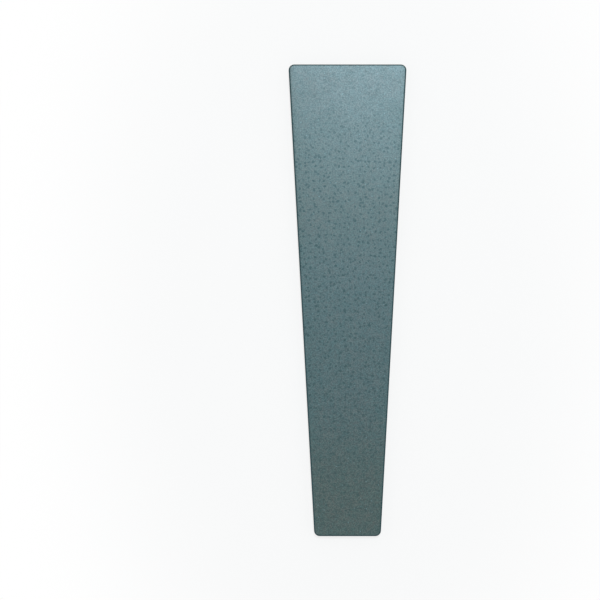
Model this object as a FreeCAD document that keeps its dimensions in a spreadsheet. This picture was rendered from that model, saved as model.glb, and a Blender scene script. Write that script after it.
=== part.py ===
"""A trapezoid porcelain wall tile: one pressed, glazed and fired slab with a keyed back.

Frame: the tile lies on its back on z = 0 with the glazed face up. +Y runs along its length, towards
the wide end, and the origin is under the middle of its bounding box. Millimetres.
"""
import FreeCAD, Part
import Sketcher
import os

from FreeCAD import Vector

doc = FreeCAD.newDocument("porcelain_tile")

# Driving dimensions. The two end widths are taken between the sharp corners, before they are rounded.
DIMENSIONS = [
    ("tile_length", 398.0, "length, along the middle"),
    ("wide_width", 100.0, "width of the wide end"),
    ("narrow_width", 56.0, "width of the narrow end"),
    ("thickness", 9.0, "from the back to the glazed face"),
    ("corner_radius", 4.8, "radius of the four corners in plan"),
    ("arris_radius", 1.5, "rounding of the edge around the glazed face"),
    ("foot_chamfer", 0.6, "small bevel around the back"),
    ("key_border", 9.0, "plain margin around the keying cells"),
    ("key_depth", 0.6, "depth of the keying cells"),
    ("key_pitch", 16.0, "spacing of the ribs between the cells"),
    ("rib_width", 3.0, "width of a rib"),
]
sheet = doc.addObject("Spreadsheet::Sheet", "Sizes")
for row, (alias, value, meaning) in enumerate(DIMENSIONS, start=1):
    sheet.set("A%d" % row, meaning)
    sheet.set("B%d" % row, str(value))
    sheet.setAlias("B%d" % row, alias)
doc.recompute()

# Two heights or lengths this close are the same.
TOUCH = 1e-4

# How far a long side leans in for each millimetre of length, and how much longer the lean makes it.
SIDE_SLOPE = "((Sizes.wide_width - Sizes.narrow_width) / (2 * Sizes.tile_length))"
SIDE_STRETCH = "sqrt(1 + %s ^ 2)" % SIDE_SLOPE


def size_of(expression):
    """The value of an expression over the sheet."""
    return float(sheet.evalExpression(expression))


def add_sketch(body, name):
    """An empty sketch on the plane of the tile's back."""
    sketch = body.newObject("Sketcher::SketchObject", name)
    back_plane = next(item for item in body.Origin.OriginFeatures if item.Role == "XY_Plane")
    sketch.AttachmentSupport = [(back_plane, "")]
    sketch.MapMode = "FlatFace"
    return sketch


def draw_trapezoid(sketch, name, wide, narrow, length):
    """Draws a trapezoid about the sketch's origin, wide end towards +Y, from three size expressions."""
    half_wide, half_narrow, half_length = (size_of(size) / 2 for size in (wide, narrow, length))
    corners = [
        Vector(-half_narrow, -half_length, 0),
        Vector(half_narrow, -half_length, 0),
        Vector(half_wide, half_length, 0),
        Vector(-half_wide, half_length, 0),
    ]
    first = sketch.GeometryCount
    narrow_end, right_side, wide_end, left_side = range(first, first + 4)
    for start, end in zip(corners, corners[1:] + corners[:1]):
        sketch.addGeometry(Part.LineSegment(start, end), False)
    for line, after in zip(range(first, first + 4), (right_side, wide_end, left_side, narrow_end)):
        sketch.addConstraint(Sketcher.Constraint("Coincident", line, 2, after, 1))
    y_axis = -2
    sketch.addConstraint(Sketcher.Constraint("Symmetric", narrow_end, 1, narrow_end, 2, y_axis))
    sketch.addConstraint(Sketcher.Constraint("Symmetric", wide_end, 1, wide_end, 2, y_axis))
    distances = [
        ("wide", Sketcher.Constraint("DistanceX", wide_end, 2, wide_end, 1, 2 * half_wide), wide),
        ("narrow", Sketcher.Constraint("DistanceX", narrow_end, 1, narrow_end, 2, 2 * half_narrow), narrow),
        ("above", Sketcher.Constraint("DistanceY", -1, 1, wide_end, 1, half_length), "%s / 2" % length),
        ("below", Sketcher.Constraint("DistanceY", narrow_end, 1, -1, 1, half_length), "%s / 2" % length),
    ]
    for label, constraint, expression in distances:
        index = sketch.addConstraint(constraint)
        sketch.renameConstraint(index, "%s_%s" % (name, label))
        sketch.setExpression("Constraints.%s_%s" % (name, label), expression)


def is_level(face, height):
    """Whether the face lies flat at this height."""
    return abs(face.BoundBox.ZMin - height) < TOUCH and abs(face.BoundBox.ZMax - height) < TOUCH


def outline_edges(feature, height):
    """The names of the feature's edges that bound its whole plan at this height."""
    level = [face for face in feature.Shape.Faces if is_level(face, height)]
    outline = max(level, key=lambda face: face.BoundBox.DiagonalLength).OuterWire.Edges
    return [
        "Edge%d" % index
        for index, edge in enumerate(feature.Shape.Edges, start=1)
        if any(edge.isSame(bound) for bound in outline)
    ]


tile = doc.addObject("PartDesign::Body", "tile")
tile.Label = "tile"

# The pressed blank: a plain block that holds the whole tile, trimmed to its plan further down.
blank_plan = add_sketch(tile, "blank_plan")
draw_trapezoid(blank_plan, "blank", "Sizes.wide_width", "Sizes.wide_width", "Sizes.tile_length")
blank = tile.newObject("PartDesign::Pad", "blank")
blank.Profile = blank_plan
blank.setExpression("Length", "Sizes.thickness")
doc.recompute()

# The keying: a shallow tapered recess, with a plain margin around it.
recess_plan = add_sketch(tile, "recess_plan")
inset = "2 * Sizes.key_border * (%s %s %s)"
draw_trapezoid(
    recess_plan,
    "recess",
    "Sizes.wide_width - " + inset % (SIDE_STRETCH, "+", SIDE_SLOPE),
    "Sizes.narrow_width - " + inset % (SIDE_STRETCH, "-", SIDE_SLOPE),
    "(Sizes.tile_length - 2 * Sizes.key_border)",
)
recess = tile.newObject("PartDesign::Pocket", "key_recess")
recess.Profile = recess_plan
recess.Reversed = True
recess.setExpression("Length", "Sizes.key_depth")
doc.recompute()


def add_rib_row(name, width, length, span, offset, axis):
    """A row of like ribs, evenly spaced over the recess's span and centred on the tile.

    width and length are one rib's size along X and Y, offset is the coordinate that the row runs along,
    and axis is the sketch axis of that direction.
    """
    count = "floor((%s - 2 * Sizes.key_border) / Sizes.key_pitch)" % span
    row_length = "(%s - 1) * Sizes.key_pitch" % count
    plan = add_sketch(tile, name + "_plan")
    draw_trapezoid(plan, name, width, width, length)
    plan.setExpression("AttachmentOffset.Base." + offset, "-%s / 2" % row_length)
    first_rib = tile.newObject("PartDesign::Pad", name + "_first")
    first_rib.Profile = plan
    first_rib.setExpression("Length", "Sizes.key_depth")
    doc.recompute()
    ribs = tile.newObject("PartDesign::LinearPattern", name)
    ribs.Originals = [first_rib]
    ribs.Direction = (plan, [axis])
    ribs.setExpression("Length", row_length)
    ribs.setExpression("Occurrences", count)
    tile.Tip = ribs
    doc.recompute()
    return ribs


# Ribs across and along the recess part it into cells. Their ends run on into the margin around it.
cross_ribs = add_rib_row(
    "cross_ribs", "Sizes.wide_width", "Sizes.rib_width", span="Sizes.tile_length", offset="y", axis="V_Axis"
)
long_ribs = add_rib_row(
    "long_ribs", "Sizes.rib_width", "Sizes.tile_length", span="Sizes.wide_width", offset="x", axis="H_Axis"
)

# The plan: everything outside the tapered outline is cut away, and the four corners are rounded.
trim_plan = add_sketch(tile, "trim_plan")
draw_trapezoid(trim_plan, "outside", "2 * Sizes.wide_width", "2 * Sizes.wide_width", "2 * Sizes.tile_length")
draw_trapezoid(trim_plan, "outline", "Sizes.wide_width", "Sizes.narrow_width", "Sizes.tile_length")
trim = tile.newObject("PartDesign::Pocket", "trim")
trim.Profile = trim_plan
trim.Reversed = True
trim.Type = "ThroughAll"
doc.recompute()

upright_edges = [
    "Edge%d" % index
    for index, edge in enumerate(trim.Shape.Edges, start=1)
    if abs(edge.BoundBox.ZLength - size_of("Sizes.thickness")) < TOUCH
]
corners = tile.newObject("PartDesign::Fillet", "corners")
corners.Base = (trim, upright_edges)
corners.setExpression("Radius", "Sizes.corner_radius")
doc.recompute()

# The glazed face's edge is rounded, and the back's edge is slightly bevelled.
arris = tile.newObject("PartDesign::Fillet", "arris")
arris.Base = (corners, outline_edges(corners, size_of("Sizes.thickness")))
arris.setExpression("Radius", "Sizes.arris_radius")
doc.recompute()

foot = tile.newObject("PartDesign::Chamfer", "foot")
foot.Base = (arris, outline_edges(arris, 0.0))
foot.setExpression("Size", "Sizes.foot_chamfer")
tile.Tip = foot
doc.recompute()

# Every object has to have been built, and the cuts and pads have to have done their work.
failed = [item.Name for item in doc.Objects if "Invalid" in item.State or "Error" in item.State]
if failed:
    raise RuntimeError("these objects failed: " + ", ".join(failed))
steps = [blank, recess, cross_ribs, long_ribs, trim, corners, arris, foot]
growth = [after.Shape.Volume - before.Shape.Volume for before, after in zip(steps, steps[1:])]
for step, change in zip(steps[1:], growth):
    adds = step in (cross_ribs, long_ribs)
    if (change > 0) != adds or change == 0:
        raise RuntimeError("%s changed the volume by %.1f" % (step.Name, change))
solid = tile.Shape
if solid.isNull() or not solid.isValid() or len(solid.Solids) != 1:
    raise RuntimeError("the tile isn't one valid solid")

os.makedirs("parts", exist_ok=True)
solid.exportStep(os.path.join("parts", tile.Label + ".step"))
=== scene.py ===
"""The look of a long trapezoid porcelain wall tile: satin dark teal glaze over a pale pressed body."""

import math

import bmesh
import bpy
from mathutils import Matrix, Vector, noise
from mathutils.geometry import delaunay_2d_cdt


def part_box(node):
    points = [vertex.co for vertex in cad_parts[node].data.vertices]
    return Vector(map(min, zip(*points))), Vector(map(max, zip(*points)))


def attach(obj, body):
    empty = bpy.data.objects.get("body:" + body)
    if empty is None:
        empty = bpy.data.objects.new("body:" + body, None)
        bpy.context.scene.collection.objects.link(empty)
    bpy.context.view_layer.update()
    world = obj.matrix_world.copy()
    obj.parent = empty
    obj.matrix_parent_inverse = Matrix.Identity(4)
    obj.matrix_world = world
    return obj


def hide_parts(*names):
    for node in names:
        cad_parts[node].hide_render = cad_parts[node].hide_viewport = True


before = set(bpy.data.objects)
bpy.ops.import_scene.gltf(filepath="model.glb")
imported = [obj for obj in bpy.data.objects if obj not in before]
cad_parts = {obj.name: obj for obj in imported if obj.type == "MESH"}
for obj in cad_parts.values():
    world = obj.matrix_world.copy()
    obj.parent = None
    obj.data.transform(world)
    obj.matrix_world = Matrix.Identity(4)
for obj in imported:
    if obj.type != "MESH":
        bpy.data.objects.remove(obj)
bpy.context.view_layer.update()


# --- The tile ---------------------------------------------------------------------------------------
# One slab of pale porcelain, dust-pressed in a steel die that also prints shallow keying cells into
# its back. A dark teal satin glaze is sprayed on the face: it rolls over the rounded arris, runs part
# of the way down the edges and stops there in an uneven line above the bare fired body.

(_, low_y, low_z), (_, high_y, high_z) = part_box("tile")
HALF_LENGTH = (high_y - low_y) / 2
WIDE_WIDTH = 0.100  # between the sharp corners, as is the next
NARROW_WIDTH = 0.056
CORNER_RADIUS = 0.0048
ARRIS_RADIUS = 0.0015
FOOT_BEVEL = 0.0006

GLAZE_DEPTH = 0.00022  # how far the glaze stands proud of the bare body
GLAZE_LINE = 0.0032  # mean height of the glaze's lower edge above the back
LOWEST_GLAZE_LINE = 0.0014
GLAZE_WANDER = 0.0009  # how far that edge swings up and down
WANDER_PERIOD = 0.034
WANDER_SEED = 3.0
FINE_WANDER_PERIOD = 0.008  # small swings on top of the long ones
FINE_WANDER_SEED = 9.0
FINE_WANDER_SHARE = 0.35
FACE_SAG = 0.00008  # how far the fired face strays from flat
SAGS_PER_METRE = 9
SAG_SEED = 0.3
PEEL_DEPTH = 0.000012  # the slight orange peel of a sprayed glaze
PEELS_PER_METRE = 140
PEEL_SEED = 7.1
EDGE_FALL = 0.00006  # the glaze thins and falls away towards the arris
EDGE_FALL_REACH = 0.004

side_slope = (WIDE_WIDTH - NARROW_WIDTH) / (4 * HALF_LENGTH)
side_lean = math.atan(side_slope)


def half_width(y):
    """Half the tile's width between its long sides, at this place along its length."""
    return (WIDE_WIDTH + NARROW_WIDTH) / 4 + side_slope * y


def corner_centre(end):
    """The centre of the rounded corner on the right of the wide end (1) or the narrow end (-1)."""
    y = end * (HALF_LENGTH - CORNER_RADIUS)
    return Vector((half_width(y) - CORNER_RADIUS / math.cos(side_lean), y))


def steps(start, end, count):
    """count + 1 even steps from start to end."""
    return [start + (end - start) * i / count for i in range(count + 1)]


# How many faces lie across the tile, along a straight side and around each corner.
ACROSS = 72
ALONG = 300
ROUND = 10

# The right-hand side, from the narrow end to the wide end, as points that are given by an arc centre and
# the direction in which the outline faces there: a corner, the long straight side, and the other corner.
narrow_corner, wide_corner = corner_centre(-1), corner_centre(1)
right_side = [(narrow_corner, angle) for angle in steps(-math.pi / 2, -side_lean, ROUND)]
right_side += [(narrow_corner.lerp(wide_corner, t), -side_lean) for t in steps(0, 1, ALONG)[1:-1]]
right_side += [(wide_corner, angle) for angle in steps(-side_lean, math.pi / 2, ROUND)]


def mirrored(place):
    """The same place on the left-hand side."""
    centre, angle = place
    return Vector((-centre.x, centre.y)), math.pi - angle


def across_end(corner, angle):
    """Places along an end of the tile, from left to right, without the corners."""
    left = Vector((-corner.x, corner.y))
    return [(left.lerp(corner, t), angle) for t in steps(0, 1, ACROSS)[1:-1]]


# All round the tile, counter-clockwise seen from above, from the narrow end's left corner.
rim = [mirrored(right_side[0])] + across_end(narrow_corner, -math.pi / 2) + right_side
rim += across_end(wide_corner, math.pi / 2)[::-1] + [mirrored(place) for place in right_side[:0:-1]]


def inset_point(place, inset):
    """The point of the outline that lies this far inside the tile's edge."""
    centre, angle = place
    return centre + (CORNER_RADIUS - inset) * Vector((math.cos(angle), math.sin(angle)))


def depth_inside(x, y):
    """How far inside the tile's edge a point of the face lies."""
    return min((half_width(y) - abs(x)) * math.cos(side_lean), HALF_LENGTH - abs(y))


def swell(x, y, per_metre, seed):
    """A smooth random number between about 0 and 1, with so many swells to the metre."""
    return noise.noise((x * per_metre, y * per_metre, seed)) * 0.5 + 0.5


def face_height(x, y):
    """The height of the glazed face: nearly flat, a little sagged, with orange peel and falling edges."""
    sag = swell(x, y, SAGS_PER_METRE, SAG_SEED)
    peel = swell(x, y, PEELS_PER_METRE, PEEL_SEED)
    fall = math.exp(-max(depth_inside(x, y) - ARRIS_RADIUS, 0) / EDGE_FALL_REACH)
    return high_z - FACE_SAG * sag - PEEL_DEPTH * peel - EDGE_FALL * fall


def wander(point, period, seed):
    """A smooth random number between about -1 and 1 that changes over this distance along the edge."""
    return noise.noise((point.x / period, point.y / period, seed))


# For the materials, each point keeps two things. edge_gap is how far it lies inside the tile's edge, and
# below the arris it is the drop from there, as a negative. unrolled is its place with the edges folded
# out flat.
mesh = bmesh.new()
uv_map = mesh.loops.layers.uv.new("OFBake")
edge_gap = mesh.verts.layers.float.new("edge_gap")
unrolled = mesh.verts.layers.float_vector.new("unrolled")
GLAZE, BODY = 0, 1  # the mesh's material slots

# The glazed face is a grid whose outer rows follow the outline, inside the arris.
grid = []
for place in right_side:
    end = inset_point(place, ARRIS_RADIUS)
    row = []
    for x in steps(-end.x, end.x, ACROSS):
        vert = mesh.verts.new((x, end.y, face_height(x, end.y)))
        vert[edge_gap] = max(depth_inside(x, end.y), ARRIS_RADIUS)
        vert[unrolled] = (x, end.y, 0.0)
        row.append(vert)
    grid.append(row)
for row, above in zip(grid, grid[1:]):
    for i in range(ACROSS):
        mesh.faces.new((row[i], row[i + 1], above[i + 1], above[i]))
ring = grid[0] + [row[-1] for row in grid[1:-1]] + grid[-1][::-1] + [row[0] for row in grid[-2:0:-1]]

# The rest of the glaze and the bare edge below it go down in rings. A ring has a kind and two numbers:
# arris, its inset and its drop from the face; glazed, its inset and its share of the way down to the
# glaze line; lip, a share of the glaze's depth and a drop below that line; bare, nothing and its share of
# the way up to the lip; foot, the bevel's inset.
ARRIS_STEPS = 10
ARRIS_FULLNESS = 2.8  # 2 is a plain quarter round, which the glaze fills out
LIP_DROP = 0.0003
profile = []
for turn in steps(0, math.pi / 2, ARRIS_STEPS)[1:]:
    reach, rise = (max(part, 0.0) ** (2 / ARRIS_FULLNESS) for part in (math.sin(turn), math.cos(turn)))
    profile.append(("arris", ARRIS_RADIUS * (1 - reach), ARRIS_RADIUS * (1 - rise)))
for share in (0.25, 0.5, 0.72, 0.88):
    profile.append(("glazed", 0.0, share))
profile += [("lip", 0.2, 0.0), ("lip", 0.65, 0.00012), ("lip", 1.0, LIP_DROP)]
profile += [("bare", 0.0, 0.5), ("bare", 0.0, 0.0), ("foot", FOOT_BEVEL, 0.0)]


def ring_point(place, kind, first, second, face_z):
    """One point of a ring: how the inset and the height follow from the profile's two numbers."""
    edge = inset_point(place, 0)
    swing = wander(edge, WANDER_PERIOD, WANDER_SEED)
    swing += FINE_WANDER_SHARE * wander(edge, FINE_WANDER_PERIOD, FINE_WANDER_SEED)
    line = max(GLAZE_LINE + GLAZE_WANDER * swing, LOWEST_GLAZE_LINE)
    shoulder = high_z - ARRIS_RADIUS
    if kind == "arris":
        inset, height = first, face_z - second
    elif kind == "glazed":
        inset, height = first, shoulder + (line - shoulder) * second
    elif kind == "lip":
        inset, height = GLAZE_DEPTH * first, line - second
    elif kind == "bare":
        inset, height = GLAZE_DEPTH, low_z + FOOT_BEVEL + (line - LIP_DROP - FOOT_BEVEL) * second
    else:
        inset, height = GLAZE_DEPTH + first, low_z
    point = inset_point(place, inset)
    return Vector((point.x, point.y, height)), inset


# The glaze and body share one sheet of the OFBake map: the face with its edges folded out flat, and the
# back beside it.
SHEET = 0.43  # side of the square sheet
FACE_ON_SHEET = Vector((0.066, SHEET / 2))
BACK_ON_SHEET = Vector((0.184, SHEET / 2))


def lay_out(face, places, origin):
    """Gives the corners of a face their places on the sheet."""
    for loop, place in zip(face.loops, places):
        loop[uv_map].uv = (Vector(place[:2]) + origin) / SHEET


for face in mesh.faces:
    lay_out(face, [vert.co for vert in face.verts], FACE_ON_SHEET)

fold = -ARRIS_RADIUS
flat_ring = [inset_point(place, -fold) for place in rim]
for kind, first, second in profile:
    next_ring = []
    for place, vert in zip(rim, ring):
        face_z = face_height(*inset_point(place, ARRIS_RADIUS))
        position, inset = ring_point(place, kind, first, second, face_z)
        new_vert = mesh.verts.new(position)
        new_vert[edge_gap] = inset if kind == "arris" else position.z - (high_z - ARRIS_RADIUS)
        next_ring.append(new_vert)
    fold += max((a.co - b.co).length for a, b in zip(ring, next_ring))
    next_flat = [inset_point(place, -fold) for place in rim]
    for vert, flat in zip(next_ring, next_flat):
        vert[unrolled] = (*flat, 0.0)
    for i in range(len(ring)):
        j = (i + 1) % len(ring)
        face = mesh.faces.new((ring[j], ring[i], next_ring[i], next_ring[j]))
        face.material_index = BODY if kind in ("bare", "foot") else GLAZE
        lay_out(face, (flat_ring[j], flat_ring[i], next_flat[i], next_flat[j]), FACE_ON_SHEET)
    ring, flat_ring = next_ring, next_flat

# The back: shallow cells between ribs, inside a plain margin that follows the outline.
KEY_BORDER = 0.009
KEY_DEPTH = 0.0006
KEY_PITCH = 0.016
RIB_WIDTH = 0.003
KEY_DRAFT = 0.0004  # how far a cell's floor is drawn in from its mouth
MOST_DRAFT = 0.3  # share of the way to the cell's middle, for the smallest cells


def cell_spans(width):
    """The stretches between evenly spaced, centred ribs over the keyed part of this width."""
    limit = width / 2 - KEY_BORDER
    count = int(2 * limit / KEY_PITCH)
    ribs = [(i - (count - 1) / 2) * KEY_PITCH for i in range(count)]
    starts = [-limit] + [rib + RIB_WIDTH / 2 for rib in ribs]
    ends = [rib - RIB_WIDTH / 2 for rib in ribs] + [limit]
    return list(zip(starts, ends))


def clipped(corners, side):
    """The part of a polygon that lies inside the margin along one long side, side being 1 or -1."""
    border = KEY_BORDER / math.cos(side_lean)
    rooms = [half_width(corner.y) - border - side * corner.x for corner in corners]
    kept = []
    for i, corner in enumerate(corners):
        before = i - 1
        if (rooms[i] >= 0) != (rooms[before] >= 0):
            kept.append(corners[before].lerp(corner, rooms[before] / (rooms[before] - rooms[i])))
        if rooms[i] >= 0:
            kept.append(corner)
    return kept


cells = []
for south, north in cell_spans(2 * HALF_LENGTH):
    for west, east in cell_spans(WIDE_WIDTH):
        cell = [Vector((west, south)), Vector((east, south)), Vector((east, north)), Vector((west, north))]
        for side in (1, -1):
            cell = clipped(cell, side)
        if cell:
            cells.append(cell)

outline = [vert.co.xy for vert in ring]
points, loops = list(outline), [list(range(len(outline)))]
for cell in cells:
    loops.append(list(range(len(points), len(points) + len(cell))))
    points += cell
INSIDE_ONLY = 1  # triangles inside the loops, and none out to their hull
TOUCH = 1e-7  # points this close are the same
filled = delaunay_2d_cdt(points, [], loops, INSIDE_ONLY, TOUCH)
back_points, _, back_faces, origins, _, face_origins = filled
back_verts = []
mouths = {}
for point, origin in zip(back_points, origins):
    if origin and origin[0] < len(ring):
        back_verts.append(ring[origin[0]])
    else:
        back_verts.append(mesh.verts.new((point.x, point.y, low_z)))
        back_verts[-1][unrolled] = (point.x, point.y, 0.0)
    for index in origin:
        mouths[index] = back_verts[-1]


def back_face(verts):
    """A face of the bare back, given counter-clockwise as seen from above, so turned over here."""
    face = mesh.faces.new(verts[::-1])
    face.material_index = BODY
    lay_out(face, [vert.co for vert in verts[::-1]], BACK_ON_SHEET)


for triangle, origin in zip(back_faces, face_origins):
    if origin == [0]:
        back_face([back_verts[i] for i in triangle])
for loop in loops[1:]:
    mouth = [mouths[i] for i in loop]
    middle = sum((vert.co for vert in mouth), Vector()) / len(mouth)
    floor_ring = []
    for vert in mouth:
        share = min(MOST_DRAFT, KEY_DRAFT / (middle - vert.co).length)
        sunk = vert.co.lerp(middle, share)
        floor_ring.append(mesh.verts.new((sunk.x, sunk.y, low_z + KEY_DEPTH)))
        floor_ring[-1][unrolled] = (sunk.x, sunk.y, 0.0)
    back_face(floor_ring)
    for i in range(len(mouth)):
        back_face([mouth[i - 1], mouth[i], floor_ring[i], floor_ring[i - 1]])

CREASE_ANGLE = math.radians(40)
tile_mesh = bpy.data.meshes.new("glazed_tile")
mesh.to_mesh(tile_mesh)
mesh.free()
tile_mesh.polygons.foreach_set("use_smooth", [True] * len(tile_mesh.polygons))
tile_mesh.set_sharp_from_angle(angle=CREASE_ANGLE)
tile = bpy.data.objects.new("glazed_tile", tile_mesh)
bpy.context.scene.collection.objects.link(tile)


def add_node(tree, kind, inputs=None, **settings):
    """A shader node with its settings made and its inputs given a value or joined to a socket."""
    node = tree.nodes.new("ShaderNode" + kind)
    for name, value in settings.items():
        setattr(node, name, value)
    for name, value in (inputs or {}).items():
        if isinstance(value, bpy.types.NodeSocket):
            tree.links.new(value, node.inputs[name])
        else:
            node.inputs[name].default_value = value
    return node


def add_math(tree, operation, *values):
    """The result of one Math node."""
    return add_node(tree, "Math", dict(enumerate(values)), operation=operation).outputs[0]


def add_vector(tree, operation, *values, gives="Vector"):
    """The vector that one Vector Math node gives, or its number where gives is "Value"."""
    return add_node(tree, "VectorMath", dict(enumerate(values)), operation=operation).outputs[gives]


def add_range(tree, value, low, high, to_low=0.0, to_high=1.0, smooth=True):
    """A value's rise from low to high, mapped to another range and held there outside it."""
    inputs = {"Value": value, "From Min": low, "From Max": high, "To Min": to_low, "To Max": to_high}
    style = "SMOOTHSTEP" if smooth else "LINEAR"
    return add_node(tree, "MapRange", inputs, interpolation_type=style).outputs["Result"]


def add_spread(tree, share, low, high):
    """A value that goes evenly from low to high as the share goes from 0 to 1."""
    return add_range(tree, share, 0.0, 1.0, low, high, smooth=False)


def add_noise(tree, where, waves_per_metre, detail, output="Fac"):
    """One noise, as a number or as a colour."""
    inputs = {"Vector": where, "Scale": waves_per_metre, "Detail": detail}
    return add_node(tree, "TexNoise", inputs).outputs[output]


def add_stored(tree, name, output):
    """What the mesh keeps under this name at each of its points."""
    return add_node(tree, "Attribute", attribute_name=name).outputs[output]


def add_mix(tree, share, first, second, blend="MIX"):
    """A mix of two colours."""
    node = add_node(tree, "Mix", {0: share}, data_type="RGBA", blend_type=blend)
    for index, colour in ((6, first), (7, second)):
        if isinstance(colour, bpy.types.NodeSocket):
            tree.links.new(colour, node.inputs[index])
        else:
            node.inputs[index].default_value = (*colour, 1.0)
    return node.outputs[2]


def new_group(name, inputs, outputs):
    """An empty shader group with named inputs, each a kind and a value, and named outputs."""
    group = bpy.data.node_groups.new(name, "ShaderNodeTree")
    for label, (kind, value) in inputs.items():
        socket = group.interface.new_socket(label, in_out="INPUT", socket_type="NodeSocket" + kind)
        if value is not None:
            socket.default_value = value
    for label, kind in outputs.items():
        group.interface.new_socket(label, in_out="OUTPUT", socket_type="NodeSocket" + kind)
    return group, group.nodes.new("NodeGroupInput").outputs, group.nodes.new("NodeGroupOutput").inputs


def use_group(tree, group, inputs):
    """The outputs of a group placed in a material with its own values."""
    return add_node(tree, "Group", inputs, node_tree=group).outputs


# Flecks: one in a share of the cells of a loose honeycomb, each an oval of its own size, lie and depth.
# Reach is the largest radius in cells, and Stretch is how many times longer than wide an oval is.
SMALLEST_FLECK = 0.5  # share of the full radius
FAINTEST_FLECK = 0.75  # share of the full depth
LIE_SPREAD = 40.0  # radians, many turns, so that any lie is as likely as another
flecks, given, result = new_group(
    "flecks",
    {
        "Vector": ("Vector", None),
        "Spacing": ("Float", 0.005),
        "Share": ("Float", 0.5),
        "Reach": ("Float", 0.3),
        "Stretch": ("Float", 1.5),
        "Softness": ("Float", 0.4),
    },
    {"Mask": "Float"},
)
per_metre = add_math(flecks, "DIVIDE", 1.0, given["Spacing"])
scaled = {0: given["Vector"], "Scale": per_metre}
scaled = add_node(flecks, "VectorMath", scaled, operation="SCALE").outputs[0]
honeycomb = add_node(flecks, "TexVoronoi", {"Vector": scaled, "Scale": 1.0}, voronoi_dimensions="2D")
chance = add_node(flecks, "SeparateColor", {0: honeycomb.outputs["Color"]}).outputs
offset = add_vector(flecks, "SUBTRACT", scaled, honeycomb.outputs["Position"])
turn = add_math(flecks, "MULTIPLY", chance[1], LIE_SPREAD)
lie = {"X": add_math(flecks, "COSINE", turn), "Y": add_math(flecks, "SINE", turn)}
lie = add_node(flecks, "CombineXYZ", lie).outputs[0]
thin_way = add_vector(flecks, "DOT_PRODUCT", offset, lie, gives="Value")
thin_square = add_math(flecks, "POWER", add_math(flecks, "ABSOLUTE", thin_way), 2.0)
squeeze = add_math(flecks, "SUBTRACT", add_math(flecks, "POWER", given["Stretch"], 2.0), 1.0)
square = add_vector(flecks, "DOT_PRODUCT", offset, offset, gives="Value")
oval = add_math(flecks, "SQRT", add_math(flecks, "MULTIPLY_ADD", thin_square, squeeze, square))
size = add_spread(flecks, chance[2], SMALLEST_FLECK, 1.0)
radius = add_math(flecks, "MULTIPLY", given["Reach"], size)
core = add_math(flecks, "MULTIPLY", radius, add_math(flecks, "SUBTRACT", 1.0, given["Softness"]))
inside = add_range(flecks, oval, radius, core)
present = add_math(flecks, "LESS_THAN", chance[0], given["Share"])
shown = add_math(flecks, "MULTIPLY", inside, present)
depth = add_spread(flecks, chance[1], FAINTEST_FLECK, 1.0)
flecks.links.new(add_math(flecks, "MULTIPLY", shown, depth), result["Mask"])

# Clouds: soft patches between two levels of a noise.
clouds, given, result = new_group(
    "clouds",
    {
        "Vector": ("Vector", None),
        "Size": ("Float", 0.02),
        "Detail": ("Float", 2.0),
        "From": ("Float", 0.35),
        "To": ("Float", 0.65),
    },
    {"Mask": "Float"},
)
per_metre = add_math(clouds, "DIVIDE", 1.0, given["Size"])
drift = add_noise(clouds, given["Vector"], per_metre, given["Detail"])
clouds.links.new(add_range(clouds, drift, given["From"], given["To"]), result["Mask"])


def cloud(size, low=0.35, high=0.65, detail=2.0):
    """One cloud pattern over the material being made."""
    inputs = {"Vector": place, "Size": size, "Detail": detail, "From": low, "To": high}
    return use_group(tree, clouds, inputs)[0]


def fleck(where, spacing, share, reach, stretch, softness):
    """One scatter of flecks over the material being made."""
    inputs = {
        "Vector": where,
        "Spacing": spacing,
        "Share": share,
        "Reach": reach,
        "Stretch": stretch,
        "Softness": softness,
    }
    return use_group(tree, flecks, inputs)[0]


def tinted(colour, mask, low, high):
    """A colour of the material being made, multiplied by one that goes from low to high with the mask."""
    return add_mix(tree, 1.0, colour, add_mix(tree, mask, low, high), "MULTIPLY")


# The glaze: a teal-grey ground, patchy and grainy, with dark teal flecks and a few pale ones, which are
# painted glints. Across the middle the ground is lighter and bluer, a painted sheen for the tail of the
# window's reflection, and at the wide end it is warmer, painted sheen colour. It is darkest in a narrow
# band over the arris, which fades at the wide end as a painted highlight, and its satin sheen takes on
# the blue of the glass.
GROUND = (0.0672, 0.0952, 0.0866)
# painted sheen: a lighter, bluer ground across the middle of the tile, for the tail of the window's
# reflection
SHEEN_TAIL_GROUND = (0.0666, 0.1064, 0.1084)
FLECK_TEAL = (0.004, 0.030, 0.027)
# a narrow band over the arris is darkened to this teal
EDGE_TEAL = (0.001, 0.027, 0.031)
# painted glints: pale teal for a few small flecks that stand in for tiny glints on the glaze
PAINTED_GLINT_TEAL = (0.125, 0.205, 0.22)
SHEEN_TINT = (0.625, 0.882, 1.0, 1.0)
PLAIN = (1.0, 1.0, 1.0)
# painted sheen colour: a warmer tint for the wide end, under the window's sheen
PAINTED_SHEEN_WARMTH = (1.15, 1.0, 0.99)
BLUE_TINT = (0.96, 1.01, 1.01)

# Changes along the tile, from one place to another as distances from its middle towards the wide end.
# Where four numbers stand, the last two are the shares there.
# Painted sheen: where the lighter, bluer band across the middle fades in and out.
SHEEN_TAIL_FROM_NARROW_END = (-0.17, -0.07)
SHEEN_TAIL_FROM_WIDE_END = (0.09, 0.01)
# Painted sheen colour: the last few centimetres of the wide end are warmer.
SHEEN_WARMTH_AT_WIDE_END = (0.15, 0.195)
FEWER_AT_NARROW_END = (-0.19, 0.04, 0.36, 1.0)
FEWER_AT_WIDE_END = (0.195, 0.105, 0.36, 1.0)
# Painted highlight: the dark rim band is fainter at the wide end, where the window's reflection catches
# the arris.
RIM_HIGHLIGHT_AT_WIDE_END = (0.194, 0.198, 1.0, 0.6)

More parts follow.
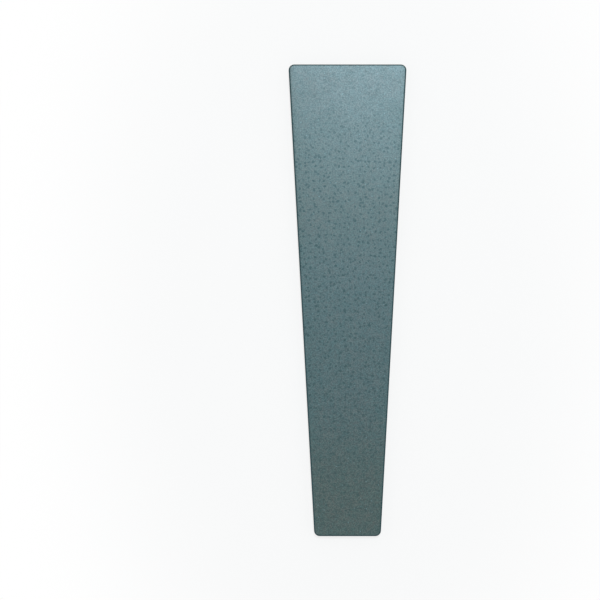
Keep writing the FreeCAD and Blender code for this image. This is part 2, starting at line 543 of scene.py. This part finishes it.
# Patches of the ground, from the widest to the finest: size, noise detail, and the tints of each end.
PATCHES = [
    (0.026, 2.0, (0.97, 1.0, 1.0), (1.03, 1.0, 1.0)),
    (0.009, 2.0, (0.945, 0.98, 0.99), (1.055, 1.02, 1.01)),
    (0.0036, 1.0, (0.92, 0.965, 0.97), (1.08, 1.035, 1.03)),
    (0.0019, 1.0, (0.93, 1.012, 1.015), (1.07, 0.988, 0.985)),
]
GRAIN_SIZE = 0.0011
GRAIN_DETAIL = 1.5
GRAIN_TINTS = ((0.70, 0.71, 0.70), (1.30, 1.29, 1.30))
FLECK_RIPPLE = 0.0013  # how far the outlines of the flecks are pulled about
RIPPLES_PER_METRE = 700.0
SMALL_FLECK_DEPTH = 0.5

# Changes near the edge, by how far inside it the glaze lies or, as a negative, how far below the arris.
BLUER_NEAR_EDGE = (0.002, 0.014)
# Where the dark band over the arris lies: its fade in from the face and from below.
RIM_BAND_FROM_FACE = (0.0017, 0.0006)
RIM_BAND_FROM_BELOW = (-0.0018, -0.0003)

SATIN = (0.33, 0.35)  # roughness in the glossier and the duller patches
SATIN_PATCH = 0.012
SATIN_LEVELS = (0.2, 0.8)
GRAIN_POLISH = -0.03  # change of roughness on the palest grain
FLECK_DULLING = 0.045
PEEL_WAVES = 1050.0  # fine orange peel, in waves a metre
FLECK_DENT = -0.3  # the flecks lie a little lower, as a share of the peel

glaze = bpy.data.materials.new("satin_teal_glaze")
glaze.use_nodes = True
tree = glaze.node_tree
surface = tree.nodes["Principled BSDF"]
surface.inputs["Specular Tint"].default_value = SHEEN_TINT
place = add_node(tree, "TexCoord").outputs["Object"]
flat = add_stored(tree, "unrolled", "Vector")
gap = add_stored(tree, "edge_gap", "Fac")
along = add_node(tree, "SeparateXYZ", {0: flat}).outputs["Y"]

# Painted sheen: the ground is lighter and bluer across the middle, for the tail of the window's
# reflection.
sheen_tail = add_range(tree, along, *SHEEN_TAIL_FROM_NARROW_END)
sheen_tail = add_math(tree, "MULTIPLY", sheen_tail, add_range(tree, along, *SHEEN_TAIL_FROM_WIDE_END))
colour = add_mix(tree, sheen_tail, GROUND, SHEEN_TAIL_GROUND)
# Painted sheen colour: the wide end is warmer, where the window's sheen lies.
colour = tinted(colour, add_range(tree, along, *SHEEN_WARMTH_AT_WIDE_END), PLAIN, PAINTED_SHEEN_WARMTH)
for size, detail, low, high in PATCHES:
    colour = tinted(colour, cloud(size, detail=detail), low, high)
grain = cloud(GRAIN_SIZE, detail=GRAIN_DETAIL)
colour = tinted(colour, grain, *GRAIN_TINTS)

ripple = add_noise(tree, place, RIPPLES_PER_METRE, 1.0, "Color")
centred = add_vector(tree, "SUBTRACT", ripple, (0.5, 0.5, 0.5))
warped = add_vector(tree, "MULTIPLY_ADD", centred, (FLECK_RIPPLE,) * 3, flat)
big = fleck(warped, spacing=0.0042, share=0.76, reach=0.345, stretch=1.45, softness=0.05)
small = fleck(warped, spacing=0.0026, share=0.40, reach=0.32, stretch=1.3, softness=0.3)
# A few pale flecks: painted glints.
painted_glints = fleck(flat, spacing=0.005, share=0.25, reach=0.14, stretch=1.3, softness=0.4)
dark = add_math(tree, "MAXIMUM", big, add_math(tree, "MULTIPLY", small, SMALL_FLECK_DEPTH))
dark = add_math(tree, "MULTIPLY", dark, add_range(tree, along, *FEWER_AT_NARROW_END, smooth=False))
dark = add_math(tree, "MULTIPLY", dark, add_range(tree, along, *FEWER_AT_WIDE_END))
colour = add_mix(tree, dark, colour, FLECK_TEAL)
colour = add_mix(tree, painted_glints, colour, PAINTED_GLINT_TEAL)

colour = tinted(colour, add_range(tree, gap, *BLUER_NEAR_EDGE), BLUE_TINT, PLAIN)
# The ground turns darker teal in a narrow band over the arris.
rim_band = add_range(tree, gap, *RIM_BAND_FROM_FACE)
rim_band = add_math(tree, "MULTIPLY", rim_band, add_range(tree, gap, *RIM_BAND_FROM_BELOW))
# Painted highlight: the rim band fades at the wide end, where the window lights the arris.
rim_band = add_math(tree, "MULTIPLY", rim_band, add_range(tree, along, *RIM_HIGHLIGHT_AT_WIDE_END))
colour = add_mix(tree, rim_band, colour, EDGE_TEAL)
tree.links.new(colour, surface.inputs["Base Color"])

satin = add_spread(tree, cloud(SATIN_PATCH, *SATIN_LEVELS), *SATIN)
satin = add_math(tree, "MULTIPLY_ADD", grain, GRAIN_POLISH, satin)
satin = add_math(tree, "MULTIPLY_ADD", dark, FLECK_DULLING, satin)
tree.links.new(satin, surface.inputs["Roughness"])
peel = add_noise(tree, place, PEEL_WAVES, 2.0)
relief = add_math(tree, "MULTIPLY_ADD", dark, FLECK_DENT, peel)
bump = add_node(tree, "Bump", {"Height": relief, "Strength": 0.6, "Distance": 0.000028})
tree.links.new(bump.outputs["Normal"], surface.inputs["Normal"])

# The bare body: pale warm grey, dry and slightly sandy, with a few iron specks. On the edges a mist of
# sprayed glaze has settled on it, thicker towards the glaze line.
BODY_GREYS = ((0.52, 0.48, 0.42), (0.60, 0.57, 0.51))
IRON = (0.22, 0.17, 0.12)
BODY_PATCH = 0.025
BODY_GRAIN = 0.0008
BODY_GRAIN_TINTS = ((0.93, 0.93, 0.93), (1.05, 1.05, 1.05))
BODY_LEVELS = (0.3, 0.7)  # between which its patches and its grain change
DRY = (0.72, 0.85)  # roughness
DRY_PATCH = 0.004
SAND_WAVES = 2200.0
MIST_WAVES = 2400.0
MIST_REACH = 0.75  # how much of the thickest mist there is at the glaze line
MIST_COVER = (0.30, 0.62)  # noise level under which there is mist, where thinnest and thickest
MIST_STRENGTH = 0.7
MIST_ONLY_BELOW = (-0.0002, -0.0006)  # drop from the arris, so that the keyed back has none

body = bpy.data.materials.new("bare_fired_body")
body.use_nodes = True
tree = body.node_tree
surface = tree.nodes["Principled BSDF"]
place = add_node(tree, "TexCoord").outputs["Object"]
flat = add_stored(tree, "unrolled", "Vector")
gap = add_stored(tree, "edge_gap", "Fac")
height = add_node(tree, "SeparateXYZ", {0: place}).outputs["Z"]

colour = add_mix(tree, cloud(BODY_PATCH, *BODY_LEVELS), *BODY_GREYS)
colour = tinted(colour, cloud(BODY_GRAIN, *BODY_LEVELS), *BODY_GRAIN_TINTS)
iron = fleck(flat, spacing=0.0030, share=0.25, reach=0.10, stretch=1.3, softness=0.4)
colour = add_mix(tree, iron, colour, IRON)
near_glaze = add_range(tree, height, FOOT_BEVEL, GLAZE_LINE, 0.0, MIST_REACH)
cover = add_spread(tree, near_glaze, *MIST_COVER)
mist = add_math(tree, "LESS_THAN", add_noise(tree, place, MIST_WAVES, 1.0), cover)
mist = add_math(tree, "MULTIPLY", mist, add_range(tree, gap, *MIST_ONLY_BELOW))
colour = add_mix(tree, add_math(tree, "MULTIPLY", mist, MIST_STRENGTH), colour, GROUND)
tree.links.new(colour, surface.inputs["Base Color"])

dryness = add_spread(tree, cloud(DRY_PATCH, *BODY_LEVELS), *DRY)
tree.links.new(dryness, surface.inputs["Roughness"])
sand = add_noise(tree, place, SAND_WAVES, 2.0)
bump = add_node(tree, "Bump", {"Height": sand, "Strength": 0.5, "Distance": 0.00006})
tree.links.new(bump.outputs["Normal"], surface.inputs["Normal"])

tile_mesh.materials.append(glaze)
tile_mesh.materials.append(body)
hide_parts("tile")
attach(tile, "root")


# --- The floor --------------------------------------------------------------------------------------
# A plain white studio floor of matt paper that runs on to a white horizon. It glows white for the
# camera and for reflections, less so around the tile, where it keeps the tile's soft shadow.

FLOOR_REACH = 8.0
WHITE = (1.0, 1.0, 1.0, 1.0)
PAPER = (0.9, 0.9, 0.9, 1.0)
PAPER_ROUGHNESS = 0.9
SHADOW_HALF_WIDTH = 0.17  # of the oval around the tile where the shadow shows
SHADOW_HALF_LENGTH = 0.31
SHADOW_FADE = (0.75, 1.8)  # where the glow starts to rise and where it is full, in sizes of that oval
GLOW_IN_SHADOW = 0.76


def background_rays(tree):
    """1 for the rays that see the white background: straight from the camera, reflected or transmitted."""
    path = add_node(tree, "LightPath").outputs
    bent = add_math(tree, "MAXIMUM", path["Is Glossy Ray"], path["Is Transmission Ray"])
    return add_math(tree, "MAXIMUM", path["Is Camera Ray"], bent)


floor_mesh = bpy.data.meshes.new("floor")
corners = [(x * FLOOR_REACH, y * FLOOR_REACH, 0.0) for x, y in ((-1, -1), (1, -1), (1, 1), (-1, 1))]
floor_mesh.from_pydata(corners, [], [(0, 1, 2, 3)])
floor = bpy.data.objects.new("floor", floor_mesh)
bpy.context.scene.collection.objects.link(floor)

paper = bpy.data.materials.new("white_paper")
paper.use_nodes = True
tree = paper.node_tree
surface = tree.nodes["Principled BSDF"]
surface.inputs["Base Color"].default_value = PAPER
surface.inputs["Roughness"].default_value = PAPER_ROUGHNESS
glow = add_node(tree, "Emission", {"Color": WHITE, "Strength": 1.0})
place = add_node(tree, "TexCoord").outputs["Object"]
oval = add_vector(tree, "MULTIPLY", place, (1 / SHADOW_HALF_WIDTH, 1 / SHADOW_HALF_LENGTH, 0.0))
oval = add_vector(tree, "LENGTH", oval, gives="Value")
whiteness = add_range(tree, oval, *SHADOW_FADE, GLOW_IN_SHADOW, 1.0)
share = add_math(tree, "MULTIPLY", background_rays(tree), whiteness)
blend = add_node(tree, "MixShader", {0: share, 1: surface.outputs[0], 2: glow.outputs[0]})
tree.links.new(blend.outputs[0], tree.nodes["Material Output"].inputs["Surface"])
floor_mesh.materials.append(paper)


# --- The light --------------------------------------------------------------------------------------
# A soft window light high beyond the wide end, to the right, and an even pale room around it that
# looks white to the camera and in reflections.

ROOM_LIGHT = 0.54


def soft_box(name, position, size, watts, colour):
    """A square lamp that faces the middle of the tile."""
    lamp = bpy.data.lights.new(name, "AREA")
    lamp.shape = "SQUARE"
    lamp.size = size
    lamp.energy = watts
    lamp.color = colour
    holder = bpy.data.objects.new(name, lamp)
    holder.location = position
    holder.rotation_euler = (-Vector(position)).to_track_quat("-Z", "Y").to_euler()
    bpy.context.scene.collection.objects.link(holder)


soft_box("window", position=(0.14, 0.62, 2.30), size=0.34, watts=22.3, colour=(0.88, 0.965, 1.0))

world = bpy.data.worlds.new("room")
bpy.context.scene.world = world
world.use_nodes = True
tree = world.node_tree
room = tree.nodes["Background"]
room.inputs["Color"].default_value = WHITE
tree.links.new(add_spread(tree, background_rays(tree), ROOM_LIGHT, 1.0), room.inputs["Strength"])


# --- The camera -------------------------------------------------------------------------------------
# Straight above the tile, which lies a little right of the middle of the view, on a long lens.

LENS = 110.0
SENSOR = 36.0
VIEW_WIDTH = 0.5063  # at the level of the tile's widest outline
VIEW_MIDDLE = (-0.0401, 0.00024)

camera_data = bpy.data.cameras.new("camera")
camera_data.lens = LENS
camera_data.sensor_width = SENSOR
camera = bpy.data.objects.new("camera", camera_data)
camera.location = (*VIEW_MIDDLE, high_z - ARRIS_RADIUS + VIEW_WIDTH * LENS / SENSOR)
bpy.context.scene.collection.objects.link(camera)
bpy.context.scene.camera = camera
bpy.context.scene.view_settings.view_transform = "Standard"
